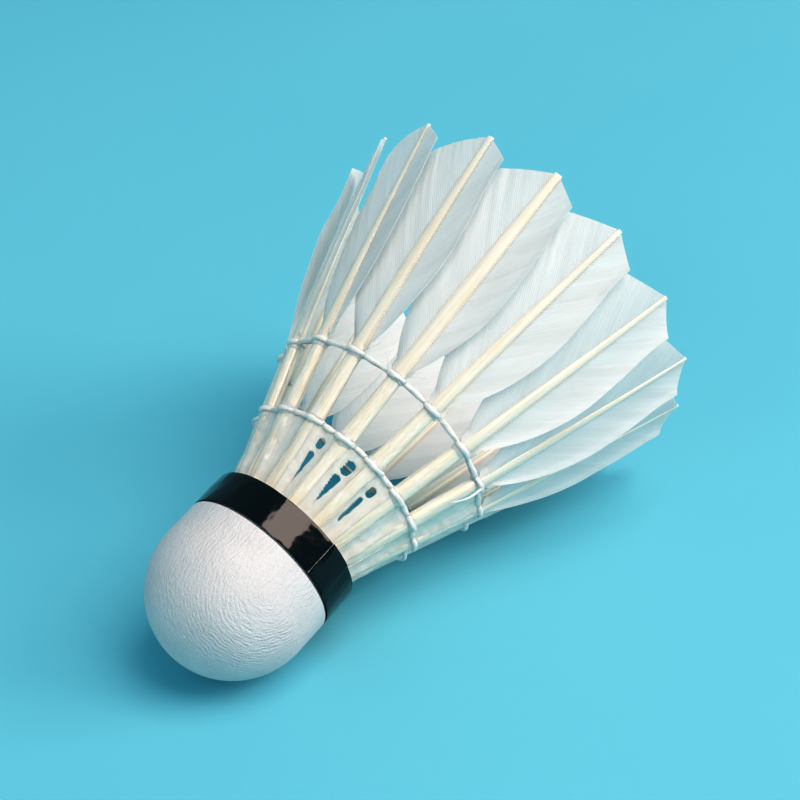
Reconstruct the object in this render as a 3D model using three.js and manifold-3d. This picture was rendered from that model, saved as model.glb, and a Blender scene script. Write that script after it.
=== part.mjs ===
// Feather badminton shuttlecock, lying on its side with the open skirt towards +X.
//
// Lengths are millimetres and +Z is up. Every piece is drawn about the shuttle's own
// axis, where +Z runs from the nose to the open skirt and z = 0 is the upper edge of
// the tape band. The whole shuttle is then tipped over until its nose and two feathers
// touch the ground, and moved so that the origin is under the middle of its box.

import * as THREE from 'three';
import { mergeVertices } from 'three/addons/utils/BufferGeometryUtils.js';
import Module from 'manifold-3d';

// ---------------------------------------------------------------------------
// Driving dimensions
// ---------------------------------------------------------------------------

const FEATHER_COUNT = 16;
const PITCH = (2 * Math.PI) / FEATHER_COUNT;
const CLEARANCE = 0.3; // left between neighbouring pieces

// Cork base
const CORK_RADIUS = 13;
const NOSE_CENTRE_Z = -11.6; // centre of the ball-shaped nose
const TAPE_HEIGHT = 5.9;
const TAPE_THICKNESS = 0.3;
const COVER_THICKNESS = 0.6;
const COVER_NECK_THICKNESS = 0.4; // where the tape is wound over the cover
const CORK_TOP_Z = -0.6;
const CORK_JOINT_Z = -8.5; // natural cork above, pressed cork below
const CORK_EYE_RADIUS = 6.4; // bare middle of the cork, inside the glue
const CORK_EYE_Z = -0.1;
const GLUE_TOP_Z = 0.3;
const BASE_SEGMENTS = 32;
const NOSE_RINGS = 8;

// Feather shafts. The shaft leans outwards and is bowed a little.
const SHAFT_TIP_Z = 59;
const SHAFT_FOOT_RADIUS = 9.9; // distance from the axis at z = 0
const SHAFT_TIP_RADIUS = 32.3;
const SHAFT_BOW = 1.4;
const SHAFT_SIDES = 8;
const SHAFT_ROOT_Z = -7.5; // end of the quill inside the cork
const SOCKET_LEVELS = [-7.8, -1, 2]; // floor, widest part, and a level clear above the glue
const SHAFT_SECTIONS = [
  // z, half width across the feather, half thickness
  [SHAFT_ROOT_Z, 0.75, 0.7],
  [-1, 1.1, 0.95],
  [10, 1.2, 1.0],
  [24, 1.05, 0.95],
  [36, 0.8, 0.75],
  [48, 0.5, 0.5],
  [SHAFT_TIP_Z, 0.33, 0.3],
];

// Vanes. The narrow one is raised over the neighbouring feather, the wide one is
// tucked under the feather on its other side.
const VANE_THICKNESS = 0.4;
const VANE_FOOT_Z = 24.4;
const NARROW_VANE = {
  twist: THREE.MathUtils.degToRad(15),
  side: 1,
  // z, distance from the middle of the shaft
  edge: [[25, 2.0], [27, 3.1], [30, 4.4], [35, 5.8], [40, 6.4], [47, 6.0], [54, 5.2]],
  corner: [56, 5.2],
};
const WIDE_VANE = {
  twist: THREE.MathUtils.degToRad(10),
  side: -1,
  edge: [[25, 1.8], [28, 3.7], [33, 5.6], [38, 6.9], [44, 8.0], [50, 8.7], [53.8, 8.7]],
  corner: [55.2, 8.0],
};

// Threads, wound round each shaft and running on to the next
const UPPER_THREAD_Z = 22.9;
const LOWER_THREAD_Z = 11.9;
const THREAD_DIAMETER = 0.8;
const THREAD_WALL = 0.6; // thread wound round a shaft
const THREAD_SIDES = 4;
const COLLAR_SEGMENTS = 4; // for each half turn
const TAIL_FEATHER = 12;
const TAIL_RUN = new THREE.Vector3(0.5, -1.6, -5.3); // loose end: out, sideways, towards the nose
const TAIL_DIAMETER = 0.5;

// ---------------------------------------------------------------------------
// Materials
// ---------------------------------------------------------------------------

const finish = (color, roughness) => new THREE.MeshStandardMaterial({ color, roughness, metalness: 0 });
const materials = {
  leather: finish(0xf2f1ec, 0.55),
  tape: finish(0x0b0c0d, 0.18),
  pressedCork: finish(0xb98e5d, 0.85),
  naturalCork: finish(0xc9a067, 0.8),
  glue: finish(0xe6e0cf, 0.25),
  shaft: finish(0xeee6d2, 0.3),
  vane: finish(0xeef2f3, 0.75),
  thread: finish(0xf4f3ee, 0.7),
};

// ---------------------------------------------------------------------------
// Geometry helpers
// ---------------------------------------------------------------------------

const wasm = await Module();
wasm.setup();

/** Shares doubled vertices and drops the triangles that collapse on the axis. */
function weld(geometry) {
  geometry.deleteAttribute('normal');
  geometry.deleteAttribute('uv');
  const merged = mergeVertices(geometry);
  const triangles = [];
  for (let i = 0; i < merged.index.count; i += 3) {
    const [a, b, c] = [0, 1, 2].map((corner) => merged.index.getX(i + corner));
    if (a !== b && b !== c && c !== a) triangles.push(a, b, c);
  }
  merged.setIndex(triangles);
  return merged;
}

/** Turns a profile of [radius, z] points about the axis. */
function turned(profile, segments) {
  const points = profile.map(([radius, z]) => new THREE.Vector2(radius, z));
  return weld(new THREE.LatheGeometry(points, segments).rotateX(Math.PI / 2));
}

/** Points of the nose, from its lowest point up to its widest ring. */
function noseArc(radius) {
  const points = [];
  for (let i = 0; i <= NOSE_RINGS; i += 1) {
    const angle = ((i / NOSE_RINGS) * Math.PI) / 2;
    points.push([radius * Math.sin(angle), NOSE_CENTRE_Z - radius * Math.cos(angle)]);
  }
  return points;
}

function toSolid(geometry) {
  return new wasm.Manifold(new wasm.Mesh({
    numProp: 3,
    vertProperties: Float32Array.from(geometry.attributes.position.array),
    triVerts: Uint32Array.from(geometry.index.array),
  }));
}

function toGeometry(solid) {
  const mesh = solid.getMesh();
  const geometry = new THREE.BufferGeometry();
  geometry.setAttribute('position', new THREE.BufferAttribute(mesh.vertProperties, 3));
  geometry.setIndex(new THREE.BufferAttribute(mesh.triVerts, 1));
  return geometry;
}

function named(name, geometry, material) {
  geometry.computeVertexNormals();
  const mesh = new THREE.Mesh(geometry, material);
  mesh.name = name;
  return mesh;
}

// ---------------------------------------------------------------------------
// Shaft line
// ---------------------------------------------------------------------------

/** Distance of the shaft's middle from the axis at height z. */
function shaftRadius(z) {
  const s = z / SHAFT_TIP_Z;
  return SHAFT_FOOT_RADIUS + (SHAFT_TIP_RADIUS - SHAFT_FOOT_RADIUS) * s + SHAFT_BOW * s * (1 - s);
}

/** Half width and half thickness of the shaft at height z. */
function shaftSection(z) {
  const last = SHAFT_SECTIONS.length - 2;
  const found = SHAFT_SECTIONS.findIndex((section, i) => i <= last && z <= SHAFT_SECTIONS[i + 1][0]);
  const [low, high] = [SHAFT_SECTIONS[found], SHAFT_SECTIONS[found + 1]];
  const t = (z - low[0]) / (high[0] - low[0]);
  return {
    halfWidth: THREE.MathUtils.lerp(low[1], high[1], t),
    halfThickness: THREE.MathUtils.lerp(low[2], high[2], t),
  };
}

/** A closed rod that follows the shaft's line, grown on every side by `extra`. */
function shaftRod(levels, extra) {
  const profile = levels.map((z) => [1, z]);
  const geometry = turned([[0, levels[0]], ...profile, [0, levels.at(-1)]], SHAFT_SIDES);
  const position = geometry.attributes.position;
  for (let i = 0; i < position.count; i += 1) {
    const z = position.getZ(i);
    const { halfWidth, halfThickness } = shaftSection(THREE.MathUtils.clamp(z, SHAFT_ROOT_Z, SHAFT_TIP_Z));
    position.setX(i, position.getX(i) * (halfThickness + extra) + shaftRadius(z));
    position.setY(i, position.getY(i) * (halfWidth + extra));
  }
  return geometry;
}

/** The shaft's direction at height z, in the plane through the axis. */
function shaftDirection(z) {
  const step = 0.5;
  return new THREE.Vector3(shaftRadius(z + step) - shaftRadius(z - step), 0, 2 * step).normalize();
}

// ---------------------------------------------------------------------------
// Cork base
// ---------------------------------------------------------------------------

const neckRadius = CORK_RADIUS - TAPE_THICKNESS - CLEARANCE;
const neckBoreRadius = neckRadius - COVER_NECK_THICKNESS;
const coverBoreRadius = CORK_RADIUS - COVER_THICKNESS;
const neckFootZ = -TAPE_HEIGHT - CLEARANCE;
const corkTopRadius = neckBoreRadius - CLEARANCE;
const glueFootZ = CORK_TOP_Z + CLEARANCE;

function leatherCover() {
  const inside = noseArc(coverBoreRadius).reverse();
  return turned([
    ...noseArc(CORK_RADIUS),
    [CORK_RADIUS, neckFootZ],
    [neckRadius, neckFootZ],
    [neckRadius, CORK_TOP_Z],
    [neckBoreRadius, CORK_TOP_Z],
    [neckBoreRadius, neckFootZ - COVER_THICKNESS],
    [coverBoreRadius, neckFootZ - COVER_THICKNESS],
    ...inside,
  ], BASE_SEGMENTS);
}

function tapeBand() {
  const inner = CORK_RADIUS - TAPE_THICKNESS;
  return turned([
    [inner, -TAPE_HEIGHT],
    [CORK_RADIUS, -TAPE_HEIGHT],
    [CORK_RADIUS, 0],
    [inner, 0],
    [inner, -TAPE_HEIGHT],
  ], BASE_SEGMENTS);
}

function corkNose() {
  const radius = coverBoreRadius - CLEARANCE;
  const top = CORK_JOINT_Z - CLEARANCE;
  return turned([...noseArc(radius), [radius, top], [0, top]], BASE_SEGMENTS);
}

/** Takes the sixteen slanting quill sockets out of a turned disc. */
function withSockets(disc) {
  const cutter = shaftRod(SOCKET_LEVELS, CLEARANCE);
  let solid = toSolid(disc);
  for (let i = 0; i < FEATHER_COUNT; i += 1) {
    solid = solid.subtract(toSolid(cutter.clone().rotateZ(featherAzimuth(i))));
  }
  return toGeometry(solid);
}

function corkTop() {
  return withSockets(turned([
    [0, CORK_JOINT_Z],
    [corkTopRadius, CORK_JOINT_Z],
    [corkTopRadius, CORK_TOP_Z],
    [CORK_EYE_RADIUS, CORK_TOP_Z],
    [CORK_EYE_RADIUS, CORK_EYE_Z],
    [0, CORK_EYE_Z],
  ], BASE_SEGMENTS));
}

function glueBed() {
  const inner = CORK_EYE_RADIUS + CLEARANCE;
  return withSockets(turned([
    [inner, glueFootZ],
    [neckRadius, glueFootZ],
    [neckRadius, GLUE_TOP_Z],
    [inner, GLUE_TOP_Z],
    [inner, glueFootZ],
  ], BASE_SEGMENTS));
}

// ---------------------------------------------------------------------------
// Feathers
// ---------------------------------------------------------------------------

/** Direction of feather i about the axis. The outer corners of the narrow vanes of the
 * first and last feather lie evenly on either side of the ground, in direction 0. */
function featherAzimuth(i) {
  const [cornerZ, reach] = NARROW_VANE.corner;
  const lift = reach * Math.sin(NARROW_VANE.twist) * shaftDirection(cornerZ).z;
  const corner = Math.atan2(reach * Math.cos(NARROW_VANE.twist), shaftRadius(cornerZ) + lift);
  return (i + 0.5) * PITCH - corner;
}

/** One vane: a flat plate beside the shaft, with a curved outer edge and a slanted end. */
function vanePlate({ side, edge, corner }) {
  const slope = 1 / shaftDirection((VANE_FOOT_Z + SHAFT_TIP_Z) / 2).z;
  const at = (z, reach) => new THREE.Vector2((z - VANE_FOOT_Z) * slope, side * reach);
  const beside = (z) => at(z, shaftSection(z).halfWidth + CLEARANCE);
  const levels = SHAFT_SECTIONS.map(([z]) => z).filter((z) => z > VANE_FOOT_Z && z < SHAFT_TIP_Z);
  const shape = new THREE.Shape();
  shape.moveTo(...beside(VANE_FOOT_Z));
  shape.splineThru(edge.map(([z, reach]) => at(z, reach)));
  shape.lineTo(...at(...corner));
  shape.lineTo(...beside(SHAFT_TIP_Z - CLEARANCE));
  levels.reverse().forEach((z) => shape.lineTo(...beside(z)));
  const plate = new THREE.ExtrudeGeometry(shape, {
    depth: VANE_THICKNESS,
    bevelEnabled: false,
    curveSegments: 2,
  });
  return weld(plate.translate(0, 0, -VANE_THICKNESS / 2));
}

/** Sets a vane against the shaft, turned about the shaft by its twist. */
function placeVane(mesh, { twist }) {
  const along = shaftDirection((VANE_FOOT_Z + SHAFT_TIP_Z) / 2);
  const across = new THREE.Vector3(0, 1, 0).applyAxisAngle(along, -twist);
  const through = new THREE.Vector3().crossVectors(along, across);
  mesh.position.set(shaftRadius(VANE_FOOT_Z), 0, VANE_FOOT_Z);
  mesh.quaternion.setFromRotationMatrix(new THREE.Matrix4().makeBasis(along, across, through));
  return mesh;
}

function feather(i) {
  const label = `feather_${String(i + 1).padStart(2, '0')}`;
  const levels = SHAFT_SECTIONS.map(([z]) => z);
  const group = new THREE.Group();
  group.rotation.z = featherAzimuth(i);
  group.add(
    named(`${label}_quill`, shaftRod(levels, 0), materials.shaft),
    placeVane(named(`${label}_narrow_vane`, vanePlate(NARROW_VANE), materials.vane), NARROW_VANE),
    placeVane(named(`${label}_wide_vane`, vanePlate(WIDE_VANE), materials.vane), WIDE_VANE),
  );
  return group;
}

// ---------------------------------------------------------------------------
// Threads
// ---------------------------------------------------------------------------

/** A straight round rod between two points. */
function strand(from, to, diameter) {
  const run = new THREE.Vector3().subVectors(to, from);
  const rod = new THREE.CylinderGeometry(diameter / 2, diameter / 2, run.length(), THREAD_SIDES);
  const turn = new THREE.Quaternion().setFromUnitVectors(new THREE.Vector3(0, 1, 0), run.normalize());
  rod.applyQuaternion(turn);
  rod.translate(...new THREE.Vector3().addVectors(from, to).multiplyScalar(0.5));
  return toSolid(weld(rod));
}

/** The thread wound round one shaft: an oval ring square to the shaft. */
function collar(z, azimuth) {
  const { halfWidth, halfThickness } = shaftSection(z);
  const inner = [halfThickness + CLEARANCE, halfWidth + CLEARANCE];
  const outer = inner.map((size) => size + THREAD_WALL);
  const shape = new THREE.Shape().absellipse(0, 0, ...outer, 0, 2 * Math.PI, false, 0);
  shape.holes.push(new THREE.Path().absellipse(0, 0, ...inner, 0, 2 * Math.PI, true, 0));
  const ring = new THREE.ExtrudeGeometry(shape, {
    depth: THREAD_DIAMETER,
    bevelEnabled: false,
    curveSegments: COLLAR_SEGMENTS,
  });
  ring.translate(0, 0, -THREAD_DIAMETER / 2);
  ring.rotateY(Math.PI / 2 - Math.atan2(shaftDirection(z).z, shaftDirection(z).x));
  ring.translate(shaftRadius(z), 0, z);
  ring.rotateZ(azimuth);
  return toSolid(weld(ring));
}

/** One closed thread: a collar on every shaft, with strands between them. */
function threadSolid(z) {
  const insideCollar = shaftSection(z).halfWidth + CLEARANCE + THREAD_WALL / 2;
  const centre = (i) => new THREE.Vector3(shaftRadius(z), 0, z).applyAxisAngle(
    new THREE.Vector3(0, 0, 1),
    featherAzimuth(i),
  );
  let solid = collar(z, featherAzimuth(0));
  for (let i = 0; i < FEATHER_COUNT; i += 1) {
    const from = centre(i);
    const to = centre(i + 1);
    const step = new THREE.Vector3().subVectors(to, from).normalize().multiplyScalar(insideCollar);
    solid = solid.add(strand(from.add(step), to.sub(step), THREAD_DIAMETER));
    if (i > 0) solid = solid.add(collar(z, featherAzimuth(i)));
  }
  return solid;
}

/** The loose end left beside the last knot of the upper thread. */
function threadTail() {
  const side = -(shaftSection(UPPER_THREAD_Z).halfWidth + CLEARANCE + THREAD_WALL / 2);
  const endZ = UPPER_THREAD_Z + TAIL_RUN.z;
  const start = new THREE.Vector3(shaftRadius(UPPER_THREAD_Z), side, UPPER_THREAD_Z);
  const end = new THREE.Vector3(shaftRadius(endZ) + TAIL_RUN.x, side + TAIL_RUN.y, endZ);
  const up = new THREE.Vector3(0, 0, 1);
  const azimuth = featherAzimuth(TAIL_FEATHER);
  return strand(start.applyAxisAngle(up, azimuth), end.applyAxisAngle(up, azimuth), TAIL_DIAMETER);
}

// ---------------------------------------------------------------------------
// Assembly
// ---------------------------------------------------------------------------

/** Steepest angle at which a straight ground line touches the nose and the skirt,
 * seen from the side with the ground in direction +X of the shuttle's own axes. */
function restingTilt(shuttle) {
  const point = new THREE.Vector3();
  let tilt = 0;
  shuttle.updateMatrixWorld(true);
  shuttle.traverse((object) => {
    if (!object.isMesh) return;
    const position = object.geometry.attributes.position;
    for (let i = 0; i < position.count; i += 1) {
      point.fromBufferAttribute(position, i).applyMatrix4(object.matrixWorld);
      const along = point.z - NOSE_CENTRE_Z;
      const reach = Math.hypot(along, point.x);
      if (along > 0 && reach > 2 * CORK_RADIUS) {
        tilt = Math.max(tilt, Math.atan2(point.x, along) - Math.asin(CORK_RADIUS / reach));
      }
    }
  });
  return tilt;
}

const shuttle = new THREE.Group();
shuttle.add(
  named('leather_cover', leatherCover(), materials.leather),
  named('tape_band', tapeBand(), materials.tape),
  named('cork_nose', corkNose(), materials.pressedCork),
  named('cork_top', corkTop(), materials.naturalCork),
  named('glue_bed', glueBed(), materials.glue),
  named('lower_thread', toGeometry(threadSolid(LOWER_THREAD_Z)), materials.thread),
  named('upper_thread', toGeometry(threadSolid(UPPER_THREAD_Z).add(threadTail())), materials.thread),
);
for (let i = 0; i < FEATHER_COUNT; i += 1) {
  shuttle.add(feather(i));
}
shuttle.rotation.y = Math.PI / 2 - restingTilt(shuttle);

const shuttlecock = new THREE.Group();
shuttlecock.add(shuttle);
shuttlecock.updateMatrixWorld(true);
const box = new THREE.Box3().setFromObject(shuttlecock, true);
const middle = box.getCenter(new THREE.Vector3());
shuttle.position.set(-middle.x, -middle.y, -box.min.z);

export default shuttlecock;
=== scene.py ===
"""Looks of a feather shuttlecock, lying on its nose ball and on two of its feathers."""
import math

import bpy
import numpy as np
from mathutils import Matrix, Vector


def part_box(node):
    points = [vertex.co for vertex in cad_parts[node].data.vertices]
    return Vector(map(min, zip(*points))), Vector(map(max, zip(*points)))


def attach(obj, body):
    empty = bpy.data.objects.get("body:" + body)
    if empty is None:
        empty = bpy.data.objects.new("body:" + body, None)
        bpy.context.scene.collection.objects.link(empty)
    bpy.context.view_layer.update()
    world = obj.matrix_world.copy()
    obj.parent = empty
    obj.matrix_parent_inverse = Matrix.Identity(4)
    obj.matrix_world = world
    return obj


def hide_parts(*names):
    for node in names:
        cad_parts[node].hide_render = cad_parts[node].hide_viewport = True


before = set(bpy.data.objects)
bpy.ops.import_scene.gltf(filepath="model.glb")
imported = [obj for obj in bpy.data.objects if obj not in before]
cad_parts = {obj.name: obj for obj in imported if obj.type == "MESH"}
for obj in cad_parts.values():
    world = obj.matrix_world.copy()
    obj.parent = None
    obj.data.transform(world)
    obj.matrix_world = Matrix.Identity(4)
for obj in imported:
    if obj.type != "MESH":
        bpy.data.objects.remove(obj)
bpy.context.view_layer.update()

MM = 0.001
TURN = 2 * math.pi


def in_mm(*rows):
    """Rows of numbers that are given in millimetres, as metres."""
    return tuple(tuple(value * MM for value in row) for row in rows)


# Feathers: how many, and where their shafts stand. Z runs along the shuttle from nose to skirt,
# with zero at the tape's upper edge. Feathers are numbered from 0, from the ground side round.
FEATHER_COUNT = 16
PITCH = TURN / FEATHER_COUNT
SHAFT_TIP_Z = 59 * MM
SHAFT_ROOT_Z = -7.5 * MM
SHAFT_FOOT_RADIUS = 9.9 * MM
SHAFT_TIP_RADIUS = 32.3 * MM
SHAFT_BOW = 1.4 * MM
# Height, half width and half thickness of a shaft.
SHAFT_SECTIONS = in_mm(
    (-7.5, 0.75, 0.7),
    (-1, 1.2, 0.95),
    (10, 1.35, 1.0),
    (24, 1.12, 0.95),
    (36, 0.8, 0.75),
    (48, 0.5, 0.5),
    (59, 0.33, 0.3),
)
# By how much some shafts are broader than that at the tip.
BROAD_SHAFTS = {4: 0.1, 7: 0.25, 8: 0.75, 9: 1.1, 10: 0.25, 11: 0.2, 14: 0.3}

# Vanes: outer edge as height and width beside the shaft, and the corner of the straight end cut.
NARROW_TWIST = math.radians(15)
WIDE_TWIST = math.radians(10)
NARROW_EDGE = in_mm((25, 2.0), (27, 3.1), (30, 4.4), (35, 5.8), (40, 6.4), (47, 6.0), (54, 5.2))
NARROW_CORNER = (56 * MM, 5.2 * MM)
WIDE_EDGE = in_mm((25, 1.8), (28, 3.7), (33, 5.6), (38, 6.9), (44, 8.0), (50, 8.7), (53.8, 8.7))
WIDE_CORNER = (55.2 * MM, 8.0 * MM)
VANE_HALF_BODY = 0.2 * MM
# Extra width of some vanes, low down and at the tip, by feather and side.
BROAD_VANES = {
    (7, -1): (0.6 * MM, -0.4 * MM),
    (7, 1): (0.4 * MM, 1.5 * MM),
    (8, -1): (2.2 * MM, 0.5 * MM),
}
# The feathers whose splits between barbs are set here; the others come apart at random.
SET_FEATHERS = range(6, 12)
SPLITS = {(8, -1): [50, 66], (11, -1): [38]}

# Barbs, the hairs that make up a vane.
BARB_PITCH = 0.5 * MM
BARB_GRAIN = 0.3 * MM
ROWS_PER_BARB = 6
BARB_COLUMNS = 16
BARB_FOOT_Z = 23.0 * MM
BARB_FOOT_ANGLE = math.radians(41)
BARB_TIP_ANGLE = math.radians(33)
BARB_BEND = math.radians(0.6) / MM
LONGEST_BARB = 22 * MM
BARB_THICKNESS = 0.09 * MM
# Barbs leave the shaft at this share of its half width.
BARB_START = 0.78
DOWN_RADIUS = 0.045 * MM
# Added to a feather's number in the grain of its narrow vane, to tell its two halves apart.
NARROW_MARK = 40

# Cork, its cover and the tape.
NOSE_RADIUS = 13 * MM
NOSE_CENTRE_Z = -11.6 * MM
TAPE_HEIGHT = 5.9 * MM
COVER_THICKNESS = 0.6 * MM
COVER_TURNS = 440
# The ball's mesh stops at this angle from its lowest point, and a small face closes it.
BALL_POLE = 0.012
NECK_RADIUS = 12.4 * MM
NECK_BORE_RADIUS = 12.0 * MM
NECK_FOOT_Z = -6.2 * MM
CORK_TOP_Z = -0.6 * MM
CORK_TOP_RADIUS = 11.7 * MM
CORK_JOINT_Z = -8.5 * MM
CORK_GAP = 0.3 * MM
CORK_EYE_RADIUS = 6.4 * MM
CORK_EYE_Z = -0.1 * MM
TAPE_SEAM_AZIMUTH = math.radians(244.0)
TAPE_PROUD = 0.05 * MM
TAPE_LAP = 0.32
TAPE_INSET = 0.1 * MM
TAPE_END_WIDTH = 0.07 * MM
BACKING_TURNS = 256
# The creases of the cover curve round a line on the ball, from WHORL to WHORL_END.
WHORL = np.array([-7.49, -10.6, -12.3]) * MM
WHORL_END = np.array([-7.77, -10.42, -7.4]) * MM
WRINKLE_SPACING = 0.54 * MM
WRINKLE_DEPTH = 0.016 * MM

# Threads.
LOWER_THREAD_Z = 11.9 * MM
UPPER_THREAD_Z = 22.9 * MM
OUTER_CORD_RADIUS = 0.41 * MM
INNER_CORD_RADIUS = 0.28 * MM
CORD_TWIST_LENGTH = 5.2 * MM
CORD_CLEARANCE = 0.25 * MM
CORD_HALF_DISTANCE = 0.16 * MM
PLY_DEPTH = 0.07
HITCH_RADIUS = 0.2 * MM
TAIL_FEATHER = 12
TAIL_RUN = (0.5 * MM, -1.6 * MM, -5.3 * MM)
TAIL_RADIUS = 0.23 * MM
TAIL_HAIRS = 5
TAIL_HAIR_LENGTH = 0.9 * MM
TAIL_HAIR_RADIUS = 0.04 * MM

# Glue: the bed on the cork, the drops at the threads and the films in the gaps between shafts.
GLUE_FOOT_Z = -0.3 * MM
GLUE_TOP_Z = 0.3 * MM
DROP_SWELL = 0.27 * MM
LOWER_DROP_SIZE = 0.85 * MM
UPPER_DROP_SIZE = 0.8 * MM
WEB_FOOT_Z = -0.2 * MM
WEB_TOP_Z = 11.7 * MM
FILM_FOOT_Z = LOWER_THREAD_Z + 0.4 * MM
FILM_TOP_Z = UPPER_THREAD_Z - 0.3 * MM
WEB_ROW = 0.1 * MM
WEB_COLUMNS = 6
# A film starts inside a shaft, at this share of its half width.
WEB_ROOT = 0.62
# Openings in the film of a gap: foot, top, share of the gap's width, middle, and taper to the foot.
PLAIN_OPENING = (2.4 * MM, 11 * MM, 0.66, 0.5, 0.5)
SHOWN_OPENINGS = {
    8: ((2.8 * MM, 8.1 * MM, 0.34, 0.46, 0.9), (8.7 * MM, 10.4 * MM, 0.34, 0.53, 0.0)),
    9: ((2.9 * MM, 7.7 * MM, 0.50, 0.47, 0.6), (8.0 * MM, 10.4 * MM, 0.48, 0.56, 0.0)),
    10: ((3.2 * MM, 8.0 * MM, 0.27, 0.40, 0.15), (8.4 * MM, 10.1 * MM, 0.36, 0.46, 0.0)),
}
WHOLE_GAPS = (4, 5, 6, 7, 11, 12, 13)
TOOTHED_GAPS = (2, 9, 14)
TOOTH_PITCH = 0.5 * MM
FILMED_GAPS = (12, 13)

# Studio.
FLOOR_HALF = 8.0
FLOOR_DROP = 0.02 * MM
FLOOR_POINTS = 33
WARM = (1.0, 0.80, 0.715)
AIR = (0.29, 0.59, 0.71, 1)
AIR_STRENGTH = 0.48
# Lights: name, direction from the shuttle, distance, size and power.
LIGHTS = (
    ("key_softbox", (0.11, -0.43, 0.89), 1.2, (0.67, 0.88), 9.0),
    ("right_softbox", (0.52, -0.70, 0.47), 1.7, (0.9, 0.9), 11.6),
    ("left_softbox", (-0.95, -0.25, 0.55), 1.3, (0.9, 0.7), 2.2),
)
LENS = 80.81
SENSOR = 36.0
CAMERA_REACH = Vector((-142.698, -153.338, 168.995)) * MM
CAMERA_RIGHT = Vector((0.651340, -0.757933, -0.035964))
CAMERA_UP = Vector((0.452607, 0.350039, 0.820134))


# ---------------------------------------------------------------- where things are

def shaft_radius(z):
    """Distance of the shaft's middle line from the shuttle's axis, at height z."""
    s = z / SHAFT_TIP_Z
    straight = SHAFT_FOOT_RADIUS + (SHAFT_TIP_RADIUS - SHAFT_FOOT_RADIUS) * s
    return straight + SHAFT_BOW * s * (1 - s)


def shaft_slope(z):
    """How fast the shaft leans away from the axis, at height z."""
    s = z / SHAFT_TIP_Z
    return (SHAFT_TIP_RADIUS - SHAFT_FOOT_RADIUS + SHAFT_BOW * (1 - 2 * s)) / SHAFT_TIP_Z


def shaft_section(z, index=None):
    """Half width and half thickness of a shaft at height z; some feathers have a broader shaft."""
    stations, widths, depths = zip(*SHAFT_SECTIONS)
    growth = BROAD_SHAFTS.get(index, 0.0) * smooth_step(z, 20 * MM, 52 * MM)
    return smooth_curve(stations, widths, z) * (1 + growth), smooth_curve(stations, depths, z)


def shaft_halves(z, index=None):
    """The same at one height, as plain numbers."""
    half_width, half_depth = shaft_section(np.array(z), index)
    return float(half_width), float(half_depth)


def full_turn(count):
    """That many angles, evenly spaced round a circle."""
    return np.linspace(0, TURN, count, endpoint=False)


def smooth_step(x, start, end):
    """Rises from 0 to 1 as x goes from start to end."""
    t = np.clip((x - start) / (end - start), 0, 1)
    return t * t * (3 - 2 * t)


def smooth_curve(xs, ys, x):
    """A smooth line through the points, flat beyond both ends."""
    xs = np.asarray(xs, float)
    ys = np.asarray(ys, float)
    slopes = np.gradient(ys, xs)
    x = np.clip(x, xs[0], xs[-1])
    k = np.clip(np.searchsorted(xs, x, side="right") - 1, 0, len(xs) - 2)
    span = xs[k + 1] - xs[k]
    t = (x - xs[k]) / span
    start = ys[k] * (1 + 2 * t) * (1 - t) ** 2 + slopes[k] * span * t * (1 - t) ** 2
    end = ys[k + 1] * t * t * (3 - 2 * t) + slopes[k + 1] * span * t * t * (t - 1)
    return start + end


def corner_azimuth():
    """Angle round the axis from a shaft to the outer corner of its narrow vane."""
    station, width = NARROW_CORNER
    upright = 1 / math.hypot(shaft_slope(station), 1)
    out = shaft_radius(station) + width * math.sin(NARROW_TWIST) * upright
    return math.atan2(width * math.cos(NARROW_TWIST), out)


def feather_azimuth(index):
    """Angle of a shaft round the axis, from the direction of the ground."""
    return (index + 0.5) * PITCH - corner_azimuth()


def on_feather(index, z, side, out):
    """Points beside a shaft: side is towards the next feather, out is away from the axis."""
    z, side, out = np.broadcast_arrays(z, side, out)
    slope = shaft_slope(z)
    length = np.hypot(slope, 1)
    radial = shaft_radius(z) + out / length
    height = z - out * slope / length
    angle = feather_azimuth(index)
    x = radial * math.cos(angle) - side * math.sin(angle)
    y = radial * math.sin(angle) + side * math.cos(angle)
    return np.stack([x, y, height], axis=-1)


def lying_tilt():
    """How far the axis rises from level, with the nose ball and two vane corners on the ground."""
    station, width = NARROW_CORNER
    side = width * math.cos(NARROW_TWIST) - VANE_HALF_BODY * math.sin(NARROW_TWIST)
    out = width * math.sin(NARROW_TWIST) + VANE_HALF_BODY * math.cos(NARROW_TWIST)
    corner = on_feather(0, station, side, out)
    reach = math.hypot(corner[0], corner[2] - NOSE_CENTRE_Z)
    lean = math.atan2(corner[2] - NOSE_CENTRE_Z, corner[0])
    return math.acos(NOSE_RADIUS / reach) - lean


def axes_at(x_axis, y_axis, z_axis, origin):
    """Matrix of a frame with those axes and that origin."""
    place = Matrix((x_axis, y_axis, z_axis)).transposed().to_4x4()
    place.translation = origin
    return place


def resting_place():
    """Matrix from the shuttle's own axes to where it lies, found from the box round the tape."""
    tilt = lying_tilt()
    low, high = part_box("tape_band")
    middle = (low + high) / 2
    x = middle.x + TAPE_HEIGHT / 2 * math.cos(tilt)
    down = Vector((math.sin(tilt), 0, -math.cos(tilt)))
    along = Vector((math.cos(tilt), 0, math.sin(tilt)))
    origin = Vector((x, 0, NOSE_RADIUS - NOSE_CENTRE_Z * math.sin(tilt)))
    return axes_at(down, Vector((0, 1, 0)), along, origin)


PLACE = resting_place()
PLACE_TURN = np.array(PLACE.to_3x3())
UPWARD = PLACE_TURN.T @ np.array([0.0, 0.0, 1.0])


def quill_drift(index, z):
    """How far a shaft strays sideways from its straight line, as real feathers do."""
    rng = np.random.default_rng(700 + index)
    s = np.clip(z / SHAFT_TIP_Z, 0, 1)
    bow = rng.uniform(-0.35, 0.35) * MM
    lean = rng.uniform(-0.3, 0.3) * MM
    return bow * np.sin(math.pi * s) + lean * s * s


# ---------------------------------------------------------------- numbers that wander

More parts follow.
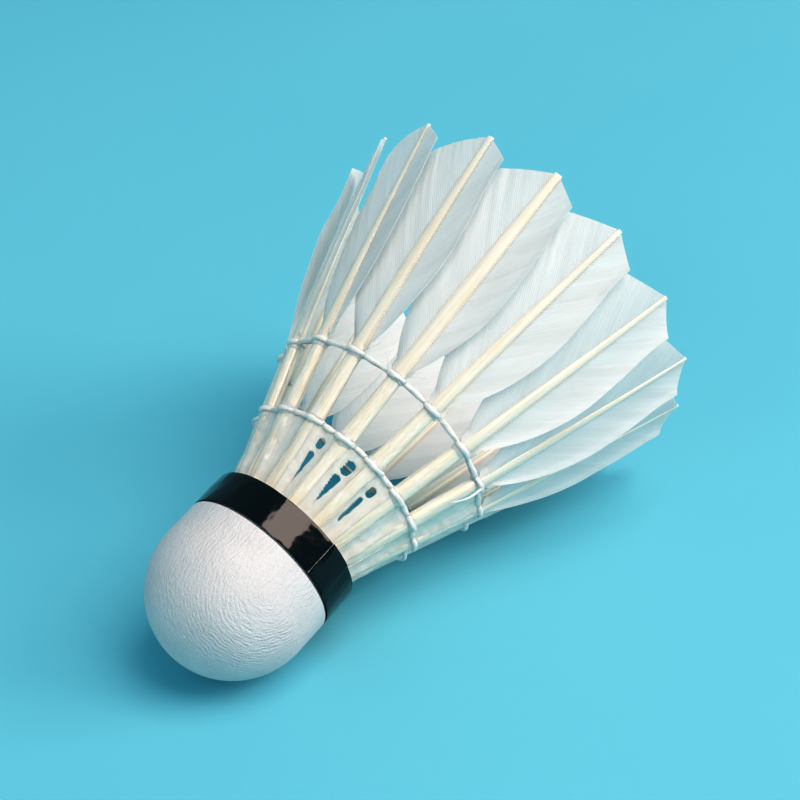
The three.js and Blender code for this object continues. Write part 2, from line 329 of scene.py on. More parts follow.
def wander(rng, x, wavelength, terms=4):
    """A smooth random line through x that stays near -1 to 1 and is the same at every run."""
    total = np.zeros_like(np.asarray(x, float))
    for _ in range(terms):
        stretch = wavelength * rng.uniform(0.6, 1.7)
        total = total + np.sin(TURN * x / stretch + rng.uniform(0, TURN))
    return total / math.sqrt(terms * 2)


def lumps(rng, points, size, terms=14):
    """Smooth random bumps in space, about size apart, near -1 to 1."""
    total = np.zeros(points.shape[:-1])
    for _ in range(terms):
        direction = rng.normal(size=3)
        direction = direction / np.linalg.norm(direction)
        stretch = size * rng.uniform(0.7, 1.6)
        phase = rng.uniform(0, TURN)
        total = total + np.sin(TURN * (points @ direction) / stretch + phase)
    return total / math.sqrt(terms * 2)


# ---------------------------------------------------------------- meshes

class Shape:
    """Points and faces of one mesh. grain says, at each point, how far along and across its
    fibres it is, and a number that sets neighbouring strands apart."""

    def __init__(self):
        self.points = []
        self.grain = []
        self.quads = []
        self.caps = []
        self.count = 0

    def add(self, points, quads, grain=(0, 0, 0), caps=()):
        points = np.asarray(points, float).reshape(-1, 3)
        grain = np.asarray(grain, float).reshape(-1, 3)
        self.points.append(points)
        self.grain.append(np.broadcast_to(grain, points.shape))
        self.quads.append(np.asarray(quads, int).reshape(-1, 4) + self.count)
        for cap in caps:
            self.caps.append([int(corner) + self.count for corner in cap])
        self.count += len(points)

    def build(self, name, material, crease=60):
        """The mesh as an object, moved to where the shuttle lies."""
        points = np.concatenate(self.points) @ PLACE_TURN.T + np.array(PLACE.translation)
        quads = np.concatenate(self.quads)
        corners = np.concatenate([quads.ravel()] + [np.array(cap, int) for cap in self.caps])
        starts = list(range(0, quads.size, 4))
        at = quads.size
        for cap in self.caps:
            starts.append(at)
            at += len(cap)
        mesh = bpy.data.meshes.new(name)
        mesh.vertices.add(len(points))
        mesh.vertices.foreach_set("co", points.ravel())
        mesh.loops.add(len(corners))
        mesh.loops.foreach_set("vertex_index", corners)
        mesh.polygons.add(len(starts))
        mesh.polygons.foreach_set("loop_start", starts)
        mesh.update(calc_edges=True)
        mesh.validate()
        grain = mesh.attributes.new("grain", "FLOAT_VECTOR", "POINT")
        grain.data.foreach_set("vector", np.concatenate(self.grain).ravel())
        mesh.shade_smooth()
        mesh.set_sharp_from_angle(angle=math.radians(crease))
        mesh.materials.append(material)
        piece = bpy.data.objects.new(name, mesh)
        bpy.context.scene.collection.objects.link(piece)
        return piece


def grid_quads(rows, columns, close_rows=False, close_columns=False):
    """Quads of a grid of points, numbered row by row, that may run round on itself."""
    row = np.arange(rows if close_rows else rows - 1)[:, None]
    column = np.arange(columns if close_columns else columns - 1)[None, :]
    next_row = (row + 1) % rows
    next_column = (column + 1) % columns
    corners = (
        row * columns + column,
        row * columns + next_column,
        next_row * columns + next_column,
        next_row * columns + column,
    )
    return np.stack(corners, axis=-1).reshape(-1, 4)


def end_caps(rows, columns):
    """The flat faces that close the first and last ring of a stack of rings."""
    last = (rows - 1) * columns
    return [range(columns - 1, -1, -1), range(last, last + columns)]


def add_rings(shape, points, grain=(0, 0, 0)):
    """A body made of a stack of rings of points, from bottom to top."""
    rows, columns = points.shape[:2]
    shape.add(points, grid_quads(rows, columns, close_columns=True), grain, end_caps(rows, columns))


def grain_of(points, along, across, mark):
    """The grain of a grid of points."""
    grain = np.empty(points.shape)
    grain[..., 0] = along
    grain[..., 1] = across
    grain[..., 2] = mark
    return grain


def solid_quads(quads, count):
    """Quads of a thin solid whose front has those quads and whose back has the same, count points on."""
    edges = np.stack([quads, np.roll(quads, -1, axis=1)], axis=-1).reshape(-1, 2)
    forward = edges[:, 0] * count + edges[:, 1]
    backward = edges[:, 1] * count + edges[:, 0]
    rim = edges[~np.isin(forward, backward)]
    wall = np.stack([rim[:, 1], rim[:, 0], rim[:, 0] + count, rim[:, 1] + count], axis=-1)
    return np.concatenate([quads, quads[:, ::-1] + count, wall])


def add_sheet(shape, front, back, quads, grain=None, flip=False):
    """A thin closed sheet between two grids of points."""
    used, order = np.unique(quads, return_inverse=True)
    quads = order.reshape(-1, 4)
    front = front.reshape(-1, 3)[used]
    back = back.reshape(-1, 3)[used]
    grain = np.zeros(front.shape) if grain is None else grain.reshape(-1, 3)[used]
    quads = solid_quads(quads[:, ::-1] if flip else quads, len(front))
    shape.add(np.concatenate([front, back]), quads, np.concatenate([grain, grain]))


def path_lengths(path):
    """How far along a path each of its points is."""
    return np.concatenate([[0], np.cumsum(np.linalg.norm(np.diff(path, axis=0), axis=1))])


def add_tube(shape, path, radius, sides=8, plies=0, twist_length=1.0, closed=False, seed=0.0):
    """A round strand along a path. With plies, its skin is laid like a twisted thread."""
    path = np.asarray(path, float)
    steps = np.roll(path, -1, axis=0) - np.roll(path, 1, axis=0)
    if not closed:
        steps[0] = path[1] - path[0]
        steps[-1] = path[-1] - path[-2]
    ahead = steps / np.linalg.norm(steps, axis=1)[:, None]
    upward = np.array([0.0, 0.0, 1.0])
    if abs(ahead[0][2]) > 0.8:
        upward = path[0] * np.array([1.0, 1.0, 0.0]) / np.linalg.norm(path[0][:2])
    across = np.cross(ahead, upward)
    across = across / np.linalg.norm(across, axis=1)[:, None]
    upright = np.cross(across, ahead)
    travelled = path_lengths(path)[:, None]
    around = full_turn(sides)
    radius = np.broadcast_to(radius, len(path))[:, None]
    lay = np.cos(plies * (around - TURN * travelled / twist_length))
    reach = radius * (1 + (PLY_DEPTH * lay if plies else 0))
    ring = np.cos(around)[None, :, None] * across[:, None, :]
    ring = ring + np.sin(around)[None, :, None] * upright[:, None, :]
    points = path[:, None, :] + reach[:, :, None] * ring
    quads = grid_quads(len(path), sides, close_rows=closed, close_columns=True)
    caps = [] if closed else end_caps(len(path), sides)
    shape.add(points, quads[:, ::-1], grain_of(points, travelled, around * radius, seed), caps)


def ring_points(radius, angle, height):
    """Points at those distances from the axis, angles round it and heights."""
    x = radius * np.cos(angle)
    y = radius * np.sin(angle)
    return np.stack(np.broadcast_arrays(x, y, height), axis=-1)


def lathe_points(profile, turns):
    """The points of a body of revolution, ring by ring; profile is radius and height."""
    profile = np.asarray(profile, float)
    angle = full_turn(turns)[None, :]
    return ring_points(profile[:, 0][:, None], angle, profile[:, 1][:, None])


# ---------------------------------------------------------------- materials

class Graph:
    """A material and the nodes in it."""

    def __init__(self, name):
        self.material = bpy.data.materials.new(name)
        self.material.use_nodes = True
        self.tree = self.material.node_tree
        self.tree.nodes.clear()

    def add(self, kind, inputs, **settings):
        node = self.tree.nodes.new("ShaderNode" + kind)
        for name, value in settings.items():
            setattr(node, name, value)
        for key, value in inputs.items():
            if isinstance(value, bpy.types.NodeSocket):
                self.tree.links.new(value, node.inputs[key])
            else:
                node.inputs[key].default_value = value
        return node

    def place(self):
        """Where a point is, in metres."""
        return self.add("TexCoord", {}).outputs["Object"]

    def grain(self):
        """The grain of the mesh, in metres."""
        return self.add("Attribute", {}, attribute_name="grain").outputs["Vector"]

    def parts(self, vector):
        return self.add("SeparateXYZ", {0: vector}).outputs

    def math(self, operation, *values):
        return self.add("Math", dict(enumerate(values)), operation=operation).outputs[0]

    def noise(self, vector, scale, detail=3.0, roughness=0.55):
        inputs = {"Vector": vector, "Scale": scale, "Detail": detail, "Roughness": roughness}
        return self.add("TexNoise", inputs).outputs["Fac"]

    def streaks(self, vector, factors, detail=3.0, roughness=0.55):
        """Noise that changes faster along some axes than along others."""
        stretched = self.add("VectorMath", {0: vector, 1: factors}, operation="MULTIPLY")
        return self.noise(stretched.outputs[0], 1.0, detail, roughness)

    def cells(self, vector, scale):
        return self.add("TexVoronoi", {"Vector": vector, "Scale": scale}).outputs["Distance"]

    def ramp(self, factor, low, high, start=0.0, end=1.0):
        """A colour between low and high as factor goes from start to end."""
        node = self.add("ValToRGB", {"Fac": factor})
        first, last = node.color_ramp.elements
        first.position = start
        last.position = end
        first.color = (*low, 1)
        last.color = (*high, 1)
        return node.outputs["Color"]

    def grey(self, factor, end=1.0):
        return self.ramp(factor, (0, 0, 0), (1, 1, 1), 0.0, end)

    def span(self, value, start, end, low=0.0, high=1.0):
        """A number from low to high as value goes from start to end."""
        inputs = {"Value": value, "From Min": start, "From Max": end, "To Min": low, "To Max": high}
        return self.add("MapRange", inputs).outputs["Result"]

    def blend(self, factor, first, second):
        """The first colour where factor is 0 and the second where it is 1."""
        return self.add("Mix", {0: factor, 6: first, 7: second}, data_type="RGBA").outputs[2]

    def bump(self, height, depth, under=None):
        """A normal for a height of 0 to 1 that stands for that depth, in metres."""
        inputs = {"Height": height, "Distance": depth}
        if under is not None:
            inputs["Normal"] = under
        return self.add("Bump", inputs).outputs["Normal"]

    def surface(self, inputs):
        return self.add("BsdfPrincipled", inputs).outputs[0]

    def finish(self, shader):
        self.add("OutputMaterial", {"Surface": shader})
        return self.material


def vane_material():
    """Thin white feather: fibres along each barb, light showing through, and painted shade in the
    furrows between barbs.
    """
    graph = Graph("vane_feather")
    grain = graph.grain()
    _, across, mark = graph.parts(grain)
    fibres = graph.streaks(grain, (260, 5200, 300), 2.0, 0.6)
    bands = graph.streaks(grain, (30, 420, 90), 3.0, 0.5)
    tint = graph.ramp(bands, (0.86, 0.86, 0.845), (0.955, 0.95, 0.935), 0.32, 0.62)
    hairs = graph.ramp(fibres, (0.85, 0.855, 0.85), (0.97, 0.965, 0.955), 0.3, 0.7)
    colour = graph.blend(0.35, tint, hairs)
    # Painted shade: blue-grey lines in the furrows between barbs, strong on the wide vanes and faint on
    # the narrow ones.
    turns = graph.math("MULTIPLY", across, TURN / BARB_GRAIN)
    uneven = graph.span(graph.streaks(grain, (45, 900, 300), 2.0, 0.5), 0.3, 0.7, -2.2, 2.2)
    wave = graph.math("SINE", graph.math("ADD", turns, uneven))
    patch = graph.span(graph.streaks(grain, (90, 260, 300), 2.0, 0.5), 0.35, 0.65, 0.03, 0.17)
    faint = graph.span(mark, NARROW_MARK / 2, NARROW_MARK / 2 + 1, 1.0, 0.25)
    shade = graph.math("MULTIPLY", graph.span(wave, 0.2, -1.0), graph.math("MULTIPLY", patch, faint))
    colour = graph.blend(shade, colour, (0.62, 0.68, 0.70, 1))
    locks = graph.span(graph.streaks(grain, (28, 1700, 300), 2.0, 0.5), 0.52, 0.72, 0.0, 0.55)
    colour = graph.blend(locks, colour, (0.985, 0.98, 0.965, 1))
    surface = graph.surface({
        "Base Color": colour,
        "Roughness": graph.span(fibres, 0.2, 0.8, 0.44, 0.62),
        "Normal": graph.bump(fibres, 0.02 * MM),
        "Specular IOR Level": 0.4,
        "Sheen Weight": 0.12,
        "Sheen Roughness": 0.4,
    })
    through = graph.add("BsdfTranslucent", {"Color": colour}).outputs[0]
    return graph.finish(graph.add("MixShader", {0: 0.47, 1: surface, 2: through}).outputs[0])


def quill_material():
    """Horny shaft: ivory pith under a clear skin, amber at the foot, glue-coated low down."""
    graph = Graph("quill_horn")
    grain = graph.grain()
    along = graph.parts(grain)[0]
    streaks = graph.streaks(grain, (90, 2600, 70))
    runs = graph.streaks(grain, (420, 1500, 90), 3.0, 0.6)
    stains = graph.span(graph.streaks(grain, (130, 420, 50), 2.0, 0.5), 0.55, 0.75, 0.0, 0.35)
    horn = graph.ramp(streaks, (0.76, 0.66, 0.49), (0.84, 0.78, 0.66), 0.32, 0.66)
    pith = graph.ramp(streaks, (0.79, 0.725, 0.60), (0.87, 0.825, 0.735), 0.3, 0.66)
    colour = graph.blend(graph.span(along, 0.0, SHAFT_TIP_Z, 0.15, 1.0), horn, pith)
    colour = graph.blend(stains, colour, (0.82, 0.69, 0.49, 1))
    coated = graph.span(along, UPPER_THREAD_Z - 1.5 * MM, UPPER_THREAD_Z + 2 * MM, 1.0, 0.12)
    milk = graph.math("MULTIPLY", graph.span(runs, 0.5, 0.72, 0.0, 0.7), coated)
    colour = graph.blend(milk, colour, (0.92, 0.91, 0.87, 1))
    wet = graph.bump(graph.math("MULTIPLY", runs, coated), 0.22 * MM)
    return graph.finish(graph.surface({
        "Base Color": colour,
        "Roughness": graph.span(streaks, 0.2, 0.8, 0.22, 0.4),
        "Normal": graph.bump(streaks, 0.02 * MM, under=wet),
        "Subsurface Weight": 0.3,
        "Subsurface Radius": (1.0, 0.75, 0.45),
        "Subsurface Scale": 0.9 * MM,
        "Coat Weight": 0.5,
        "Coat Roughness": 0.1,
    }))


# How light spreads inside thread that is soaked with glue.
SOAKED = {
    "Subsurface Weight": 0.8,
    "Subsurface Radius": (1.0, 1.0, 0.95),
    "Subsurface Scale": 1.1 * MM,
}


def thread_material():
    """White cotton thread soaked with glue."""
    graph = Graph("thread_cotton")
    hairs = graph.streaks(graph.grain(), (1500, 9000, 100), 3.0, 0.6)
    soak = graph.noise(graph.place(), 700, 2.0, 0.5)
    return graph.finish(graph.surface({
        "Base Color": graph.ramp(hairs, (0.73, 0.71, 0.65), (0.84, 0.82, 0.77), 0.25, 0.7),
        "Roughness": graph.span(soak, 0.3, 0.7, 0.28, 0.6),
        "Normal": graph.bump(hairs, 0.03 * MM),
        "Coat Weight": 0.15,
        "Coat Roughness": 0.15,
        **SOAKED,
    }))


def glue_material():
    """Set glue: milky and clear in patches and in runs along the shafts, shiny."""
    graph = Graph("glue_resin")
    place = graph.place()
    cloud = graph.noise(place, 520, 4.0, 0.6)
    fine = graph.noise(place, 2600, 3.0, 0.6)
    runs = graph.streaks(graph.grain(), (260, 2100, 30), 3.0, 0.6)
    clear = graph.ramp(cloud, (0.79, 0.725, 0.60), (0.85, 0.81, 0.73), 0.3, 0.7)
    milky = graph.span(runs, 0.42, 0.66, 0.0, 0.75)
    return graph.finish(graph.surface({
        "Base Color": graph.blend(milky, clear, (0.87, 0.865, 0.82, 1)),
        "Roughness": graph.span(fine, 0.3, 0.75, 0.10, 0.22),
        "Normal": graph.bump(runs, 0.12 * MM, under=graph.bump(cloud, 0.04 * MM)),
        "IOR": 1.48,
        "Transmission Weight": 0.12,
        "Subsurface Weight": 0.6,
        "Subsurface Radius": (1.0, 0.95, 0.8),
        "Subsurface Scale": 1.0 * MM,
    }))


def glue_coat_material():
    """Clear glue soaked into the threads."""
    graph = Graph("glue_coat")
    cloud = graph.noise(graph.place(), 900)
    return graph.finish(graph.surface({
        "Base Color": graph.ramp(cloud, (0.74, 0.725, 0.67), (0.83, 0.82, 0.78), 0.3, 0.7),
        "Roughness": graph.span(cloud, 0.3, 0.7, 0.14, 0.36),
        "Normal": graph.bump(cloud, 0.03 * MM),
        "IOR": 1.4,
        "Transmission Weight": 0.15,
        **SOAKED,
    }))


def leather_material():
    """White cover leather: fine skin, and creases that follow the mesh's own."""
    graph = Graph("cover_leather")
    place = graph.place()
    pores = graph.cells(place, 3800.0)
    grain = graph.noise(place, 2400, 4.0, 0.6)
    cloud = graph.noise(place, 160, 3.0, 0.5)
    colour = graph.ramp(cloud, (0.625, 0.61, 0.61), (0.68, 0.665, 0.665), 0.3, 0.7)
    colour = graph.blend(graph.span(grain, 0.35, 0.7, 0.0, 0.2), colour, (0.53, 0.52, 0.53, 1))
    folds = graph.grain()
    across, strength, _ = graph.parts(folds)
    turns = graph.math("MULTIPLY", across, TURN / WRINKLE_SPACING)
    broken = graph.span(graph.noise(place, 700, 2.0, 0.5), 0.3, 0.7, -1.7, 1.7)
    wave = graph.math("SINE", graph.math("ADD", turns, broken))
    creases = graph.span(graph.math("MULTIPLY", wave, strength), -1.0, 1.0)
    strokes = graph.streaks(folds, (2300, 0, 620), 3.0, 0.6)
    stroked = graph.bump(strokes, 0.22 * MM, under=graph.bump(creases, 0.075 * MM))
    skin = graph.blend(0.5, graph.grey(pores, 0.7), graph.grey(grain))
    return graph.finish(graph.surface({
        "Base Color": colour,
        "Roughness": graph.span(grain, 0.2, 0.8, 0.5, 0.68),
        "Normal": graph.bump(skin, 0.07 * MM, under=stroked),
        "Specular IOR Level": 0.35,
        "Sheen Weight": 0.08,
    }))


def tape_material():
    """Black gloss tape, very slightly rippled."""
    graph = Graph("tape_gloss")
    place = graph.place()
    ripple = graph.noise(place, 420, 2.0, 0.45)
    specks = graph.noise(place, 5200, 2.0, 0.6)
    return graph.finish(graph.surface({
        "Base Color": graph.ramp(specks, (0.0004, 0.0008, 0.0009), (0.0016, 0.0022, 0.0025), 0.35, 0.7),
        "Roughness": graph.span(specks, 0.3, 0.8, 0.07, 0.15),
        "Normal": graph.bump(ripple, 0.03 * MM),
        "Specular IOR Level": 0.45,
    }))


def tape_end_material():
    """Grey backing of the tape, which also stands for a painted highlight on the tape's cut edge."""
    graph = Graph("tape_end_backing_and_highlight")
    dust = graph.noise(graph.place(), 3000, 3.0, 0.6)
    return graph.finish(graph.surface({
        # Partly the backing's own grey, partly a painted highlight on the cut edge.
        "Base Color": graph.ramp(dust, (0.10, 0.11, 0.10), (0.42, 0.42, 0.38), 0.3, 0.7),
        "Roughness": graph.span(dust, 0.2, 0.8, 0.4, 0.7),
    }))


def cork_material(name, light, dark, grain_scale):
    """Cork: tan cells with darker flecks."""
    graph = Graph(name)
    place = graph.place()
    cells = graph.cells(place, grain_scale)
    flecks = graph.noise(place, grain_scale * 0.6, 5.0, 0.7)
    tan = graph.ramp(flecks, dark, light, 0.32, 0.58)
    return graph.finish(graph.surface({
        "Base Color": graph.blend(graph.span(cells, 0.0, 0.5, 0.35, 0.0), tan, (*dark, 1)),
        "Roughness": graph.span(flecks, 0.2, 0.8, 0.7, 0.95),
        "Normal": graph.bump(cells, 0.08 * MM),
    }))


def floor_material():
    """Plain pale blue board."""
    graph = Graph("studio_floor")
    place = graph.place()
    mottle = graph.noise(place, 6, 3.0, 0.5)
    fine = graph.noise(place, 900, 3.0, 0.6)
    return graph.finish(graph.surface({
        "Base Color": graph.ramp(mottle, (0.146, 0.515, 0.64), (0.158, 0.535, 0.66), 0.3, 0.7),
        "Roughness": graph.span(fine, 0.2, 0.8, 0.5, 0.6),
        "Normal": graph.bump(fine, 0.02 * MM),
        "Specular IOR Level": 0.08,
    }))


# ---------------------------------------------------------------- feathers

def add_quill(shape, index):
    """One shaft: flattened dome outside, a groove along the inside, and a cut tip."""
    rng = np.random.default_rng(100 + index)
    z = np.linspace(SHAFT_ROOT_Z, SHAFT_TIP_Z, 210)[:, None]
    around = full_turn(28)[None, :]
    half_width, half_depth = shaft_section(z, index)
    side = half_width * np.sign(np.cos(around)) * np.abs(np.cos(around)) ** 0.85
    out = half_depth * np.sign(np.sin(around)) * np.abs(np.sin(around)) ** 0.9
    inside = np.exp(-(((around - 1.5 * math.pi) / 0.42) ** 2))
    groove = 0.42 * half_depth * smooth_step(z, 18 * MM, 30 * MM)
    swell = 1 + 0.02 * wander(rng, z, 9 * MM) + 0.008 * np.sin(5 * around + rng.uniform(0, 6))
    side = side * swell + quill_drift(index, z)
    points = on_feather(index, z, side, (out + inside * groove) * swell)
    add_rings(shape, points, grain_of(points, z, around * half_width, index))


def add_barb_roots(shape, index):
    """The thick root of every barb, which lies on the shoulder of the shaft."""
    rng = np.random.default_rng(200 + index)
    root = np.arange(BARB_FOOT_Z + 1 * MM, SHAFT_TIP_Z - 0.6 * MM, BARB_PITCH)
    rise = np.array([0.5, 0.4, 0.3, 0.24, 0.2])
    radius = np.array([0.05, 0.07, 0.07, 0.06, 0.03]) * MM
    reach = np.linspace(0, 0.75 * MM, 5)
    for vane, thin in ((NarrowVane(index), 0.6), (WideVane(index), 1.0)):
        for station in root + rng.uniform(-0.04, 0.04, root.size) * MM:
            _, half_depth = shaft_halves(station, index)
            along, width = vane.barb_line(station - 0.1 * MM, reach)
            path = vane.surface(along, width, half_depth * rise)
            add_tube(shape, path, radius * thin, sides=6, seed=index)


class Vane:
    """One half of a feather. side is 1 towards the next feather and -1 towards the last one."""

    def __init__(self, index):
        self.index = index
        self.splits = self.choose_splits()
        self.rng = np.random.default_rng(1000 * (2 + self.side) + index)

    def choose_splits(self):
        """Barbs at which the vane has come apart."""
        if self.index in SET_FEATHERS:
            return SPLITS.get((self.index, self.side), [])
        rng = np.random.default_rng(800 + 2 * self.index + (self.side > 0))
        count = rng.integers(0, 2)
        return [int(v) for v in rng.choice(np.arange(9, 62, 3), size=count, replace=False)]

    def width_limit(self, z):
        """Width of the trimmed vane at height z."""
        stations, widths = zip(*(self.edge + (self.corner,)))
        low, high = BROAD_VANES.get((self.index, self.side), (0.0, 0.0))
        extra = low + (high - low) * smooth_step(z, 38 * MM, 55 * MM)
        return smooth_curve(stations, widths, z) + extra * smooth_step(z, 24 * MM, 30 * MM)

    def cut_limit(self, width):
        """The height at which the straight end cut crosses this width."""
        return SHAFT_TIP_Z + (self.corner[0] - SHAFT_TIP_Z) * width / self.corner[1]

    def barb_line(self, root, reach):
        """Height and width of the point at that reach along the barb rooted at that height."""
        t = np.clip((root - BARB_FOOT_Z) / (SHAFT_TIP_Z - BARB_FOOT_Z), 0, 1)
        angle = BARB_FOOT_ANGLE + (BARB_TIP_ANGLE - BARB_FOOT_ANGLE) * t
        start = BARB_START * shaft_section(root, self.index)[0]
        along = (np.sin(angle) - np.sin(angle - BARB_BEND * reach)) / BARB_BEND
        across = (np.cos(angle - BARB_BEND * reach) - np.cos(angle)) / BARB_BEND
        return root + along, start + across

    def barb_length(self, root):
        """How long a barb is before it meets the trimmed outline."""
        reach = np.linspace(0, LONGEST_BARB, 900)[None, :]
        station, width = self.barb_line(root[:, None], reach)
        inside = (width < self.width_limit(station)) & (station < self.cut_limit(width))
        crossing = np.argmin(inside, axis=1)
        return np.maximum(reach[0][crossing], 0.06 * MM)

    def surface(self, station, width, height):
        """Points of the vane, at that width from the shaft's middle and height off the vane's plane."""
        side = self.side * width * math.cos(self.twist) - height * math.sin(self.twist)
        out = self.side * width * math.sin(self.twist) + height * math.cos(self.twist)
        return on_feather(self.index, station, side + quill_drift(self.index, station), out)

    def add_to(self, shape):
        rows = int(round((SHAFT_TIP_Z - 0.5 * MM - BARB_FOOT_Z) / BARB_PITCH))
        bounds = [0] + sorted(self.splits) + [rows]
        for first, last in zip(bounds[:-1], bounds[1:]):
            self.add_clump(shape, first, last, first > 0, last < rows)
        self.add_down(shape)

    def add_clump(self, shape, first, last, split_below, split_above):
        """Barbs first to last, which hold together, as a ridged sheet."""
        phase = np.arange(first * ROWS_PER_BARB, last * ROWS_PER_BARB + 1) / ROWS_PER_BARB
        root = BARB_FOOT_Z + phase * BARB_PITCH
        length = self.barb_length(root) * (1 + 0.004 * np.cos(TURN * phase))
        share = np.linspace(0, 1, BARB_COLUMNS + 1)[None, :] ** 1.25
        reach = length[:, None] * share
        station, width = self.barb_line(root[:, None], reach)
        gap = np.zeros(phase.shape)
        if split_below:
            gap = gap + np.exp(-(phase - first) / 1.6)
        if split_above:
            gap = gap - np.exp(-(last - phase) / 1.6)
        part = gap[:, None] * share ** 1.6
        station = station + part * 0.1 * MM
        width = np.maximum(width - np.abs(part) * 0.05 * MM, 0)
        height = self.height(station, width, reach, phase[:, None], first)
        thick = BARB_THICKNESS * (1.15 - 0.4 * share) / 2
        front = self.surface(station, width, height + thick)
        back = self.surface(station, width, height - thick)
        mark = self.index + (NARROW_MARK if self.side > 0 else 0)
        grain = grain_of(front, reach, (phase * BARB_GRAIN)[:, None], mark)
        quads = grid_quads(len(phase), BARB_COLUMNS + 1)
        add_sheet(shape, front, back, quads, grain, flip=self.side < 0)

    def height(self, station, width, reach, phase, first):
        """How far the barbs stand off the vane's plane."""
        rng = np.random.default_rng(5000 + 100 * self.index + 10 * self.side)
        clump = np.random.default_rng(9000 + 100 * self.index + first)
        across = np.clip(width / self.width_limit(station), 0, 1)
        inner = shaft_section(station)[1] * 0.3
        bowl = self.camber * np.sin(math.pi * across)
        wave = 0.16 * MM * wander(rng, station, 17 * MM) * across ** 1.5
        combed = self.combed * reach * wander(rng, phase, 6.5)
        tilted = reach * clump.uniform(-0.004, 0.004)
        curl = self.curl * smooth_step(across, 0.8, 1.0)
        ridge = np.exp(-((((phase + 0.5) % 1) - 0.5) / 0.2) ** 2)
        rib = (self.rib + self.comb * np.exp(-reach / (0.8 * MM))) * (ridge - 0.3)
        rib = rib * np.clip(1.1 - 0.35 * across, 0, 1)
        return inner * (1 - across) + bowl + wave + combed + tilted + curl + rib

    def add_down(self, shape):
        """Loose downy barbs at the foot of the vane."""
        for number in range(self.rng.integers(4, 8)):
            root = BARB_FOOT_Z - self.rng.uniform(-0.6, 1.4) * MM
            length = self.rng.uniform(1.5, 4.2) * MM
            t = np.linspace(0, 1, 12)
            angle = self.rng.uniform(0.35, 1.0)
            turn = angle + self.rng.uniform(-0.9, 0.7) * t
            step = length / (len(t) - 1)
            station = root + np.concatenate([[0], np.cumsum(np.cos(turn[:-1]) * step)])
            start = 0.8 * shaft_halves(root, self.index)[0]
            width = start + np.concatenate([[0], np.cumsum(np.sin(turn[:-1]) * step)])
            height = self.rng.uniform(-0.6, 0.6) * MM * t * t
            path = self.surface(station, width, height)
            add_tube(shape, path, DOWN_RADIUS * (1 - 0.7 * t), sides=6, seed=self.index + number)


class NarrowVane(Vane):
    """The half towards the next feather, which lies over it: smooth, with a turned-up edge."""

    side, twist, edge, corner = 1, NARROW_TWIST, NARROW_EDGE, NARROW_CORNER
    camber, combed, curl = -0.35 * MM, 0.0015, 0.25 * MM
    rib, comb = 0.016 * MM, 0.022 * MM


class WideVane(Vane):
    """The half that is tucked under the last feather."""

    side, twist, edge, corner = -1, WIDE_TWIST, WIDE_EDGE, WIDE_CORNER
    camber, combed, curl = 0.5 * MM, 0.0045, 0.0
    rib, comb = 0.024 * MM, 0.04 * MM


# ---------------------------------------------------------------- threads

def thread_path(z, outside, seed):
    """Middle line of one cord: round the outside or inside of every shaft and straight between them."""
    rng = np.random.default_rng(seed)
    half_width, half_depth = shaft_halves(z)
    points = []
    for index in range(FEATHER_COUNT):
        arc = np.linspace(-0.46 * math.pi, 0.46 * math.pi, 13)
        side = (half_width + CORD_CLEARANCE) * np.sin(arc) + quill_drift(index, z)
        out = (half_depth + 0.22 * MM) * np.cos(arc) * outside
        rise = rng.uniform(-0.1, 0.1) * MM + 0.08 * MM * outside * np.sin(arc)
        points.append(on_feather(index, z + rise, side, out))
        points.append(between_shafts(index, z, outside, half_width, rng))
    return np.concatenate(points)


def between_shafts(index, z, outside, half_width, rng):
    """The run of one cord from a shaft to the next, lying against the other cord."""
    following = (index + 1) % FEATHER_COUNT
    start = on_feather(index, z, half_width + CORD_CLEARANCE, 0.0)
    end = on_feather(following, z, -half_width - CORD_CLEARANCE, 0.0)
    t = np.linspace(0, 1, 24)[1:-1]
    outward = (start + end) * np.array([1.0, 1.0, 0.0])
    outward = outward / np.linalg.norm(outward)
    apart = CORD_HALF_DISTANCE * outside * np.sin(math.pi * t)
    path = start + (end - start) * t[:, None] + apart[:, None] * outward
    path[:, 2] += rng.uniform(-0.12, 0.06) * MM * np.sin(math.pi * t)
    return path


def evened(path, step):
    """The same closed path with evenly spaced points."""
    around = np.vstack([path, path[:1]])
    travelled = path_lengths(around)
    count = int(travelled[-1] / step)
    at = np.linspace(0, travelled[-1], count, endpoint=False)
    return np.stack([np.interp(at, travelled, around[:, axis]) for axis in range(3)], axis=-1)


def swelling(count, seed):
    """How much thicker or thinner a closed cord is along its way."""
    rng = np.random.default_rng(seed)
    t = full_turn(count)
    total = 0
    for _ in range(9):
        total = total + rng.uniform(0.3, 1.0) * np.sin(rng.integers(9, 70) * t + rng.uniform(0, 6))
    return 1 + 0.05 * total


def add_hitch(shape, index, z, seed):
    """The turn of thread that ties a shaft, lying a little askew over the others."""
    rng = np.random.default_rng(seed)
    half_width, half_depth = shaft_halves(z)
    angle = full_turn(44)
    side = (half_width + HITCH_RADIUS / 2) * np.cos(angle) + quill_drift(index, z)
    out = (half_depth + HITCH_RADIUS / 2) * np.sin(angle)
    lean = rng.uniform(0.2, 0.34) * MM * rng.choice([-1, 1])
    rise = lean * np.cos(angle) + rng.uniform(-0.1, 0.1) * MM
    path = on_feather(index, z + rise, side, out)
    add_tube(shape, path, HITCH_RADIUS, 10, 2, CORD_TWIST_LENGTH / 2, True, seed)


def add_thread_ring(shape, z, seed):
    """One winding: a cord outside the shafts, one inside, and a turn round every shaft."""
    for outside, radius in ((1, OUTER_CORD_RADIUS), (-1, INNER_CORD_RADIUS)):
        path = evened(thread_path(z, outside, seed + outside), 0.13 * MM)
        thickness = radius * swelling(len(path), seed)
        add_tube(shape, path, thickness, 16, 2, CORD_TWIST_LENGTH, True, seed + outside)
    for index in range(FEATHER_COUNT):
        add_hitch(shape, index, z, seed * 10 + index)


